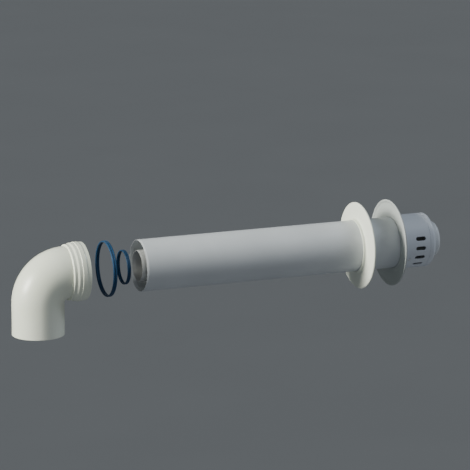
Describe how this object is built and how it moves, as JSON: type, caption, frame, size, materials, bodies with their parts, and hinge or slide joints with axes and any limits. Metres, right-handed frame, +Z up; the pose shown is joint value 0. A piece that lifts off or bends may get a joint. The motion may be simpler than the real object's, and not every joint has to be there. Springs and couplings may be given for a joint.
{
  "type": "flue elbow",
  "caption": "Coaxial 90 degree boiler flue elbow with its seals, horizontal coaxial pipe, wall rosettes and slotted terminal, pulled apart on one axis.",
  "frame": {"origin": "centre of the elbow's lower rim, where it stands on the boiler's flue collar", "axes": "+Z up the elbow's leg, +X along the horizontal pipe from the elbow to the terminal, +Y to the left of a person looking along +X; the pipe's axis is 115 mm above the origin"},
  "size_m": [0.872, 0.17, 0.2],
  "materials": {
    "elbow_white": "smooth moulded plastic, warm white, soft gloss",
    "pipe_white": "extruded plastic pipe, neutral light grey-white, satin",
    "flue_liner": "heat resistant plastic, off-white, matt",
    "seal_blue": "dark blue silicone rubber, slightly glossy",
    "rosette_white": "flexible moulded plastic, warm white, satin",
    "terminal_white": "moulded plastic, cool white, satin",
    "spring_steel": "bent stainless strip",
    "rivet_aluminium": "plain blind rivet"
  },
  "bodies": {
    "elbow": {"elbow_outer_shell": "elbow_white", "elbow_inner_bend": "flue_liner", "elbow_leg_spacer": "spring_steel", "elbow_mouth_spacer": "spring_steel"},
    "outer_seal": {"outer_seal": "seal_blue"},
    "inner_seal": {"inner_seal": "seal_blue"},
    "front_centring": {"pipe_front_spacer": "spring_steel"},
    "pipe": {"outer_pipe": "pipe_white", "inner_pipe": "flue_liner", "pipe_middle_spacer": "spring_steel", "pipe_rear_spacer": "spring_steel", "terminal_sleeve": "terminal_white", "terminal_end_cap": "terminal_white", "terminal_nozzle": "flue_liner", "terminal_grille": "flue_liner", "terminal_rivet_1": "rivet_aluminium", "terminal_rivet_2": "rivet_aluminium", "terminal_rivet_3": "rivet_aluminium"},
    "inner_rosette": {"inner_wall_rosette": "rosette_white"},
    "outer_rosette": {"outer_wall_rosette": "rosette_white"}
  },
  "joints": [
    {"name": "pipe_push_in", "type": "slide", "parent": "elbow", "child": "front_centring", "axis": [-1, 0, 0], "range_m": [0, 0.1435]},
    {"name": "pipe_swivel", "type": "hinge", "parent": "front_centring", "child": "pipe", "pos_m": [0.202, 0, 0.115], "axis": [1, 0, 0], "continuous": true},
    {"name": "outer_seal_seating", "type": "slide", "parent": "elbow", "child": "outer_seal", "axis": [-1, 0, 0], "range_m": [0, 0.0666]},
    {"name": "inner_seal_seating", "type": "slide", "parent": "elbow", "child": "inner_seal", "axis": [-1, 0, 0], "range_m": [0, 0.1022]},
    {"name": "inner_rosette_slide", "type": "slide", "parent": "pipe", "child": "inner_rosette", "axis": [-1, 0, 0], "range_m": [-0.02, 0.4]},
    {"name": "outer_rosette_slide", "type": "slide", "parent": "pipe", "child": "outer_rosette", "axis": [1, 0, 0], "range_m": [-0.02, 0.004]}
  ],
  "couplings": [
    {"joint": "outer_seal_seating", "follows": "pipe_push_in", "ratio": 0.464},
    {"joint": "inner_seal_seating", "follows": "pipe_push_in", "ratio": 0.7115}
  ]
}
